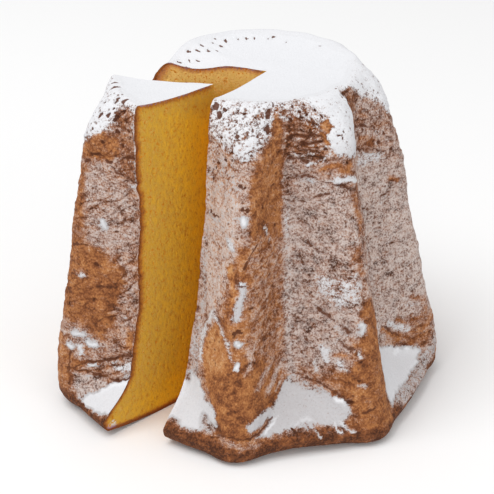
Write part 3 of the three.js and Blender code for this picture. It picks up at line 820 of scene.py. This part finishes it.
def crust_body(name, angles, tip, levels, rings, stance, materials, eases):
    """A closed body of crust: the cut lathe moved out along its normals by its relief, with a sunk patch
    on each cut. eases is as for cut_depth, and larger on a cut that meets the side at a sharp angle.
    Returns the piece and its two cuts."""
    base, azimuth, level, share = cut_lathe(angles, tip, levels, rings)
    middle = np.array([tip[0], tip[1], 0.0])
    cuts = cut_planes(angles, middle, stance, eases)
    normal = grid_normals(base)
    for cut in cuts:
        edge = normal[cut["column"]]
        edge -= (edge @ cut["out"])[:, None] * cut["out"]
    finish, relief = crust_finish(azimuth, level, share, base)
    grid = base + normal * relief[..., None]

    # The grid's points are followed by the meeting line's, with its two ends first, and then by the inner
    # points of each cut's face.
    columns, rows = azimuth.shape
    index = np.arange(columns * rows).reshape(columns, rows)
    low, high = columns * rows, columns * rows + 1
    axis = np.concatenate([[low], high + np.arange(1, len(levels) - 1), [high]])
    nought = np.array(0.0)
    pole_heights = [float(rest_height(nought, nought + at, nought)) for at in (0, HEIGHT)]
    axis_heights = np.linspace(*pole_heights, len(levels))[1:-1]
    line = lambda heights: middle + np.array(heights)[:, None] * UPRIGHT
    points = [grid.reshape(-1, 3), line(pole_heights), line(axis_heights)]
    fan = lambda pole, a, b: np.stack([np.full(columns - 1, pole), a, b, b], -1)
    outer = [grid_quads(index)]
    outer += [fan(low, index[1:, 0], index[:-1, 0]), fan(high, index[:-1, -1], index[1:, -1])]
    inner = []
    on_face = columns * rows + len(levels)
    brown = [np.zeros(on_face)]
    sugary = [np.zeros(on_face)]
    next_point = on_face
    for cut in cuts:
        face, distances = sunk_face(cut, grid, rings, pole_heights)
        points.append(face)
        brown.append(toast(*distances).ravel())
        sugary.append(sifted(distances[1]).ravel())
        own = face_numbers(index[cut["column"]], axis, next_point)
        inner.append(grid_quads(own)[:, :: cut["turn"]])
        next_point += len(face)

    # The finish along the two cuts: baked through at the crust's edge, and sifted with sugar over the top.
    over_top = index[[0, -1], 2 - len(rings) :].ravel()
    brown = np.concatenate(brown)
    brown[index[[0, -1]].ravel()] = 1
    brown[over_top] = 0.7
    sugary = np.concatenate(sugary)
    sugary[over_top] = sifted(0)
    amounts = {}
    for key, value in finish.items():
        amounts[key] = np.concatenate([value.ravel(), np.full(len(brown) - value.size, value[0, -1])])
    amounts |= {"toast": brown, "sifted": sugary}
    sharp = np.zeros(len(brown), bool)
    sharp[index[[0, -1]].ravel()] = True
    sharp[low:on_face] = True
    outer, inner = np.concatenate(outer), np.concatenate(inner)
    material = np.concatenate([np.zeros(len(outer)), np.ones(len(inner))])
    points = stand(np.concatenate(points), *stance)
    faces = np.concatenate([outer, inner])
    return make_piece(name, points, faces, amounts, materials, material, sharp), cuts


def nodes_of(name):
    """A new material with its node tree and its shader."""
    material = bpy.data.materials.new(name)
    material.use_nodes = True
    tree = material.node_tree
    return material, tree, tree.nodes["Principled BSDF"]


def feed(tree, socket, value):
    """Sets a socket to a number or colour, or links it to another node's output."""
    if isinstance(value, bpy.types.NodeSocket):
        tree.links.new(value, socket)
    else:
        socket.default_value = value


def amount(tree, name):
    """A mesh attribute as a number."""
    node = tree.nodes.new("ShaderNodeAttribute")
    node.attribute_name = name
    return node.outputs["Fac"]


def speckle(tree, size_mm, detail=2.0, stretch=(1, 1, 1)):
    """Noise of about 0 to 1 whose grains are this many millimetres across, fixed to the object."""
    place = tree.nodes.new("ShaderNodeTexCoord").outputs["Object"]
    mapping = tree.nodes.new("ShaderNodeMapping")
    mapping.inputs["Scale"].default_value = stretch
    tree.links.new(place, mapping.inputs["Vector"])
    noise = tree.nodes.new("ShaderNodeTexNoise")
    noise.inputs["Scale"].default_value = 1000 / size_mm
    noise.inputs["Detail"].default_value = detail
    tree.links.new(mapping.outputs["Vector"], noise.inputs["Vector"])
    return noise.outputs["Fac"]


def maths(tree, operation, a, b=0.0, c=0.0):
    """One sum on numbers: ADD, MULTIPLY, MULTIPLY_ADD and so on."""
    node = tree.nodes.new("ShaderNodeMath")
    node.operation = operation
    for socket, value in zip(node.inputs, (a, b, c)):
        feed(tree, socket, value)
    return node.outputs["Value"]


def step_up(tree, value, low, high):
    """0 below low, 1 above high and smooth in between."""
    node = tree.nodes.new("ShaderNodeMapRange")
    node.interpolation_type = "SMOOTHSTEP"
    feed(tree, node.inputs["Value"], value)
    node.inputs["From Min"].default_value = low
    node.inputs["From Max"].default_value = high
    return node.outputs["Result"]


def blend(tree, share, a, b):
    """The mix of two colours."""
    node = tree.nodes.new("ShaderNodeMix")
    node.data_type = "RGBA"
    feed(tree, node.inputs[0], share)
    feed(tree, node.inputs[6], a)
    feed(tree, node.inputs[7], b)
    return node.outputs[2]


def ramp(tree, value, stops):
    """A colour ramp of (position, colour) stops."""
    node = tree.nodes.new("ShaderNodeValToRGB")
    feed(tree, node.inputs["Fac"], value)
    elements = node.color_ramp.elements
    while len(elements) < len(stops):
        elements.new(0.5)
    for element, (position, colour) in zip(elements, stops):
        element.position = position
        element.color = colour + (1,)
    return node.outputs["Color"]


def bump(tree, height, distance_mm, strength):
    """A bump of the shading from a height of 0 to 1."""
    node = tree.nodes.new("ShaderNodeBump")
    node.inputs["Strength"].default_value = strength
    node.inputs["Distance"].default_value = distance_mm / 1000
    feed(tree, node.inputs["Height"], height)
    return node.outputs["Normal"]


def mended(tree, value, noise, strength):
    """A number made uneven by noise about a half."""
    return maths(tree, "MULTIPLY_ADD", maths(tree, "SUBTRACT", noise, 0.5), strength, value)


def spots(tree, size_mm, share, radius, edge):
    """Small round spots, in this share of the cells of a lattice: 1 inside, 0 outside."""
    place = tree.nodes.new("ShaderNodeTexCoord").outputs["Object"]
    cells = tree.nodes.new("ShaderNodeTexVoronoi")
    cells.inputs["Scale"].default_value = 1000 / size_mm
    tree.links.new(place, cells.inputs["Vector"])
    parts = tree.nodes.new("ShaderNodeSeparateColor")
    tree.links.new(cells.outputs["Color"], parts.inputs["Color"])
    outside = step_up(tree, cells.outputs["Distance"], radius - edge, radius + edge)
    inside = maths(tree, "SUBTRACT", 1.0, outside)
    return maths(tree, "MULTIPLY", inside, maths(tree, "LESS_THAN", parts.outputs["Red"], share))


# The crust's colours, linear as the shader takes them: from the darkest bake to the palest, and then the
# layers that lie on it.
BAKED = (
    (0.0, (0.075, 0.024, 0.010)),
    (0.3, (0.24, 0.080, 0.027)),
    (0.6, (0.46, 0.185, 0.060)),
    (1.0, (0.68, 0.38, 0.17)),
)
FINE_DUST = (0.65, 0.56, 0.52, 1)
# the grey of thin sugar, partly painted shade on the drifts that lie in shade
SHADED_THIN_SUGAR = (0.53, 0.515, 0.525, 1)
THICK_SUGAR = (0.80, 0.805, 0.83, 1)
SMALL_PIT = (0.17, 0.062, 0.028, 1)
CRACK_BOTTOM = (0.12, 0.038, 0.016, 1)


def sugared_crust():
    """The crust: its brown is a ramp on the bake, darker in hollows, where the darkening is painted shade.
    Dust greys it by a smooth step, sugar whitens it by a sharper one, from a grey that is partly painted
    shade on drifts in shade to the white of the top, and small pits and cracks are dark through both.
    Noise in four sizes makes every edge uneven."""
    material, tree, shader = nodes_of("sugared_crust")
    grain = speckle(tree, 1.15, 2)
    fine = speckle(tree, 0.6, 1)
    mottle = speckle(tree, 5.0, 3)
    flake = speckle(tree, 3.0, 3, (0.7, 0.7, 1.5))
    pits = spots(tree, 2.6, amount(tree, "speckled"), 0.26, 0.10)
    crack = step_up(tree, mended(tree, amount(tree, "crack"), grain, 1.1), 0.6, 0.95)
    browning = maths(tree, "MULTIPLY_ADD", amount(tree, "bake"), 0.42, 0.37)
    browning = mended(tree, mended(tree, browning, mottle, 0.9), grain, 0.9)
    # the hollows darken the brown here and thin the dust and sugar below: painted shade
    browning = maths(tree, "MULTIPLY_ADD", amount(tree, "hollow"), -0.4, browning)
    baked = ramp(tree, browning, BAKED)
    uneven = maths(tree, "MULTIPLY_ADD", amount(tree, "dust"), 1.7, 0.4)
    haze = mended(tree, mended(tree, amount(tree, "dust"), grain, uneven), fine, 1.0)
    haze = mended(tree, mended(tree, haze, mottle, 0.5), flake, 1.1)
    haze = maths(tree, "MULTIPLY_ADD", amount(tree, "hollow"), -0.7, haze)
    dusted = blend(tree, step_up(tree, haze, 0.05, 1.3), baked, FINE_DUST)
    cover = mended(tree, mended(tree, amount(tree, "sugar"), fine, 0.9), grain, 0.8)
    cover = mended(tree, cover, flake, 0.6)
    cover = maths(tree, "MULTIPLY_ADD", amount(tree, "hollow"), -0.5, cover)
    cover = step_up(tree, cover, 0.40, 0.85)
    # from the grey of thin sugar, partly painted shade, to the white of thick sugar
    white = blend(tree, mended(tree, amount(tree, "thick"), grain, 0.4), SHADED_THIN_SUGAR, THICK_SUGAR)
    sugared = blend(tree, cover, dusted, white)
    sugared = blend(tree, maths(tree, "MULTIPLY", pits, 0.75), sugared, SMALL_PIT)
    sugared = blend(tree, maths(tree, "MULTIPLY", crack, 0.95), sugared, CRACK_BOTTOM)
    tree.links.new(sugared, shader.inputs["Base Color"])
    shader.inputs["Roughness"].default_value = 0.85
    shader.inputs["Specular IOR Level"].default_value = 0.25
    relief = maths(tree, "MULTIPLY_ADD", grain, 0.9, maths(tree, "MULTIPLY", fine, 0.5))
    relief = maths(tree, "MULTIPLY", relief, maths(tree, "MULTIPLY_ADD", cover, -0.6, 1.0))
    relief = maths(tree, "MULTIPLY_ADD", pits, -0.5, relief)
    tree.links.new(bump(tree, relief, 1.1, 0.8), shader.inputs["Normal"])
    return material


# The cut dough's colours: its gold from the crust to the middle. Towards the middle it turns a brighter
# orange, partly the dough's own deeper tone and partly painted light: the glow of light bounced between
# the two cut faces, which also lifts the shade in the notch.
GOLDEN_AND_GLOW = (
    (0.0, (0.88, 0.62, 0.22)),
    (0.4, (0.60, 0.345, 0.050)),
    (0.68, (0.84, 0.455, 0.024)),
    (1.0, (1.0, 0.51, 0.006)),
)
# What baking through multiplies it by, from none to the crust itself.
BAKED_THROUGH = (
    (0.0, (1, 1, 1)),
    (0.2, (1, 0.98, 0.9)),
    (0.55, (0.72, 0.48, 0.5)),
    (1.0, (0.34, 0.17, 0.3)),
)
# the dark of the pores, painted shade, and of the sponge's mottle, the crumb's own uneven tone
PORE_SHADE_AND_MOTTLE = (0.60, 0.21, 0.006, 1)
FALLEN_SUGAR = (0.70, 0.66, 0.60, 1)


def golden_crumb():
    """The cut dough: its gold is a ramp on how deep it lies, made uneven by noise; the ramp's brighter
    orange towards the middle is partly painted light, the glow of light bounced between the cut faces.
    Pores and a fine sponge are darker, the pores' darkening being painted shade and the sponge the crumb's
    own uneven tone. Fallen sugar is pale where the sponge stands up, and the whole is multiplied by a ramp
    on how far it is baked through."""
    material, tree, shader = nodes_of("golden_crumb")
    fibre = speckle(tree, 2.4, 3, (1, 1, 0.65))
    sponge = speckle(tree, 1.3, 2)
    tint = mended(tree, amount(tree, "deep"), fibre, 0.8)
    tint = maths(tree, "MULTIPLY_ADD", tint, 0.6, 0.4)
    golden = ramp(tree, tint, GOLDEN_AND_GLOW)
    # darker in the pores, as painted shade, and with the sponge and fibre, the crumb's own uneven tone
    shade = mended(tree, maths(tree, "MULTIPLY", amount(tree, "pore"), 0.45), sponge, -3.2)
    shade = step_up(tree, mended(tree, shade, fibre, -2.4), 0.0, 1.1)
    weight = maths(tree, "MULTIPLY_ADD", amount(tree, "deep"), -0.5, 1.0)
    golden = blend(tree, maths(tree, "MULTIPLY", shade, weight), golden, PORE_SHADE_AND_MOTTLE)
    fallen = maths(tree, "MULTIPLY", amount(tree, "sifted"), mended(tree, 1.0, sponge, 5.0))
    golden = blend(tree, step_up(tree, fallen, 0.35, 0.85), golden, FALLEN_SUGAR)
    browned = mended(tree, mended(tree, amount(tree, "toast"), fibre, 0.6), sponge, 0.9)
    browned = ramp(tree, browned, BAKED_THROUGH)
    node = tree.nodes.new("ShaderNodeMix")
    node.data_type = "RGBA"
    node.blend_type = "MULTIPLY"
    node.inputs[0].default_value = 1
    tree.links.new(golden, node.inputs[6])
    tree.links.new(browned, node.inputs[7])
    tree.links.new(node.outputs[2], shader.inputs["Base Color"])
    shader.inputs["Roughness"].default_value = 0.9
    shader.inputs["Specular IOR Level"].default_value = 0.2
    tree.links.new(bump(tree, speckle(tree, 1.0, 2), 0.5, 0.6), shader.inputs["Normal"])
    return material


crust = sugared_crust()
crumb = golden_crumb()

LOAF_CUTS = (-31.2, 253.0)  # azimuths of the first and the last cut
LOAF_TIP = (3.5, 0.0)  # where they meet
LOAF_STANCE = (0, (3.2, 0.0), (6.4, 4.0))  # turn, and where its axis stands at the foot and at the top
LOAF_EASES = (2.6, 8.0)  # how far in from the side each cut's hollow is at its full depth
FAR_SIDE = 95  # azimuth past which the mesh is coarser, since it lies behind
# Shares of the radius at which the rings of the underside and the top lie.
rings = np.concatenate([np.linspace(0, 0.84, 13), np.linspace(0.86, 0.985, 10), [1.0]])


def side_levels(count):
    """Levels up the side: even steps less a sine, which draws them together at the foot and at the
    shoulder, with one more very close to each end."""
    share = np.linspace(0, 1, count - 1)
    level = HEIGHT * (share - np.sin(2 * math.pi * share) / (5 * math.pi))
    return np.concatenate([[0, 0.2], level[1:-1], [HEIGHT - 0.2, HEIGHT]])


front_angles = np.arange(LOAF_CUTS[0], FAR_SIDE, 0.5)
back_angles = np.linspace(FAR_SIDE, LOAF_CUTS[1], 106)
loaf_crust, loaf_cuts = crust_body(
    "loaf_crust",
    np.concatenate([front_angles, back_angles]),
    LOAF_TIP,
    side_levels(196),
    rings,
    LOAF_STANCE,
    (crust, crumb),
    LOAF_EASES,
)
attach(loaf_crust, "root")
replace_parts(loaf_crust, "loaf")

# ---- The loaf: the crumb on its two cuts ----
# The knife opens the dough's bubbles, so a cut face is a soft sponge of small pores with some larger
# holes. The dough is yellow with egg and butter, denser by the crust, and its tone deepens towards the
# loaf's middle, where its brighter orange is partly painted light, the glow of light bounced between the
# cut faces.

HEART = (0.3, 0.36)  # where a slab's back comes to a point, as shares of the face's width and height
NOWHERE = (0, -50)  # a place below the underside, for a face with no sugar fallen on it


def crumb_slab(name, cut, across, up, seed, pale=0.0, reach=3.9, sprinkled=NOWHERE):
    """A slab of crumb that fills the hollow behind a cut face. Its front is a fine grid on the face, sunk
    by its pores. Its back is a fan to one point, deeper than any pore, from where the whole outline is in
    sight. pale lightens it, and sprinkled is where sugar has fallen on it, as the distance from the cuts'
    meeting line and the height."""
    edges = cut["underside"], cut["side"], cut["top"]
    u = np.linspace(0.006, 0.995, across)
    v = np.linspace(0.003, 0.997, up)
    flat = patch(*edges, u, v)
    distances = to_crust(flat, *edges)
    place = cut["middle"] + flat[..., :1] * cut["along"] + flat[..., 1:] * UPRIGHT
    away = flat[..., 0]
    inner = smooth(distances[0], 0.6, cut["ease"] + 0.4) * smooth(np.minimum(*distances[1:]), 0.6, 3.0)
    inner = inner * smooth(away, 3, 40)
    small, odds = nearest_seed(place, (2.6, 2.6, 3.4), seed)
    pore = (odds < 0.75) * np.clip(1 - small / (0.22 + 0.2 * odds), 0, 1) ** 0.6
    large, chance = nearest_seed(place, (8, 8, 13), seed + 3)
    hole = (chance < 0.35) * np.clip(1 - large / (0.10 + 0.28 * chance), 0, 1) ** 0.6
    sponge = 0.16 * gradient_noise(place, (2.6, 2.6, 3.6), seed + 6)
    sponge = sponge + 0.10 * gradient_noise(place, 1.3, seed + 8)
    depth = 0.2 + (0.45 * pore + 0.9 * hole + np.abs(sponge)) * inner
    front = place - depth[..., None] * cut["out"]
    index = np.arange(across * up).reshape(across, up)
    # once round the grid's edge, and the same loop drawn in and set back, as the slab's narrow side wall
    loop = np.concatenate([index[:-1, 0], index[-1, :-1], index[:0:-1, -1], index[0, :0:-1]])
    inset = patch(*edges, np.clip(u, 0.035, 1 - cut["ease"] / 70), np.clip(v, 0.016, 0.984))
    inset = inset.reshape(-1, 2)[loop]
    back = cut["middle"] + inset[:, :1] * cut["along"] + inset[:, 1:] * UPRIGHT
    back = back - np.minimum(0.3 + 0.2 * inset[:, :1], SUNK - 0.4) * cut["out"]
    heart = place[int(across * HEART[0]), int(up * HEART[1])] - (SUNK - 0.4) * cut["out"]
    points = np.concatenate([front.reshape(-1, 3), back, heart[None]])
    behind = index.size + np.arange(len(loop))
    wall = np.stack([loop, behind, np.roll(behind, -1), np.roll(loop, -1)], -1)
    last = np.full(len(loop), len(points) - 1)
    fan = np.stack([np.roll(behind, -1), behind, last, last], -1)
    faces = np.concatenate([grid_quads(index), wall, fan])
    if cut["turn"] < 0:
        triangle = (faces[:, 2] == faces[:, 3])[:, None]
        faces = np.where(triangle, faces[:, [1, 0, 2, 3]], faces[:, ::-1])
    fill = lambda value: np.concatenate([value.ravel(), np.full(len(loop) + 1, 0.0)])
    fallen = np.exp(-(((away - sprinkled[0]) / 4.0) ** 2) - ((flat[..., 1] - sprinkled[1]) / 3.4) ** 2)
    amounts = {
        "toast": fill(toast(*distances, reach)),
        # the pores, which the crumb's material darkens as painted shade
        "pore": fill(np.clip(0.8 * pore + hole, 0, 1) * inner),
        # how deep the dough lies; the crumb's ramp turns brighter orange with it, partly as painted light
        "deep": fill(smooth(np.minimum(distances[0], 2.2 * distances[1]), 4, 85) - pale),
        "sifted": fill(np.maximum(fallen, sifted(distances[1]))),
    }
    piece = make_piece(name, stand(points, *cut["stance"]), faces, amounts, (crumb,))
    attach(piece, "root")
    return piece


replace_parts(crumb_slab("loaf_crumb_front", loaf_cuts[0], 110, 200, 61), "loaf")
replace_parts(crumb_slab("loaf_crumb_back", loaf_cuts[1], 150, 260, 71, pale=0.5, reach=6.5), "loaf")

# ---- The slice ----
# A wedge one ridge wide, cut from the same loaf with two upright strokes of a knife, so its crust and
# crumb are the loaf's own. It was drawn out of the notch, turned a little, and leans outwards.

SLICE_CUTS = (-80.5, -30.5)
SLICE_TIP = (0.0, 0.0)
SLICE_STANCE = (-15, (-6.7, -11.7), (-20.9, -17.6))
SLICE_EASES = (2.6, 2.6)
slice_crust, slice_cuts = crust_body(
    "slice_crust",
    np.linspace(*SLICE_CUTS, 168),
    SLICE_TIP,
    side_levels(330),
    rings,
    SLICE_STANCE,
    (crust, crumb),
    SLICE_EASES,
)
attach(slice_crust, "root")
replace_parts(slice_crust, "slice")
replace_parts(crumb_slab("slice_crumb_back", slice_cuts[0], 100, 190, 81), "slice")
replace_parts(crumb_slab("slice_crumb_front", slice_cuts[1], 190, 380, 91, sprinkled=(102, 6.5)), "slice")

# ---- Studio ----
# A pale floor in a white room, under a broad soft light from above on the left, with a weak one from the
# right and a weaker one from the camera's side, which reaches into the notch.

REACH = 3.0
mesh = bpy.data.meshes.new("floor")
corners = [(-REACH, -REACH, 0), (REACH, -REACH, 0), (REACH, REACH, 0), (-REACH, REACH, 0)]
mesh.from_pydata(corners, [], [(0, 1, 2, 3)])
floor_material, tree, shader = nodes_of("pale_floor")
shader.inputs["Base Color"].default_value = (0.96, 0.96, 0.96, 1)
shader.inputs["Roughness"].default_value = 1
shader.inputs["Specular IOR Level"].default_value = 0
mesh.materials.append(floor_material)
floor = bpy.data.objects.new("floor", mesh)
bpy.context.scene.collection.objects.link(floor)

world = bpy.data.worlds.new("studio")
world.use_nodes = True
world.node_tree.nodes["Background"].inputs["Color"].default_value = (1, 1, 1, 1)
world.node_tree.nodes["Background"].inputs["Strength"].default_value = 0.62
bpy.context.scene.world = world
bpy.context.scene.view_settings.view_transform = "Standard"


def soft_light(name, place, aim, width, power):
    """A square area light that faces a point."""
    data = bpy.data.lights.new(name, "AREA")
    data.size = width
    data.energy = power
    light = bpy.data.objects.new(name, data)
    light.location = place
    light.rotation_euler = (Vector(aim) - Vector(place)).to_track_quat("-Z", "Y").to_euler()
    bpy.context.scene.collection.objects.link(light)


soft_light("key", (-1.0, -0.5, 2.6), (0, 0, 0.1), 2.0, 40)
soft_light("fill", (1.6, -1.9, 0.9), (0, 0, 0.1), 1.4, 8)
soft_light("front", (-0.1, -2.4, 1.1), (0, 0, 0.1), 0.8, 6)
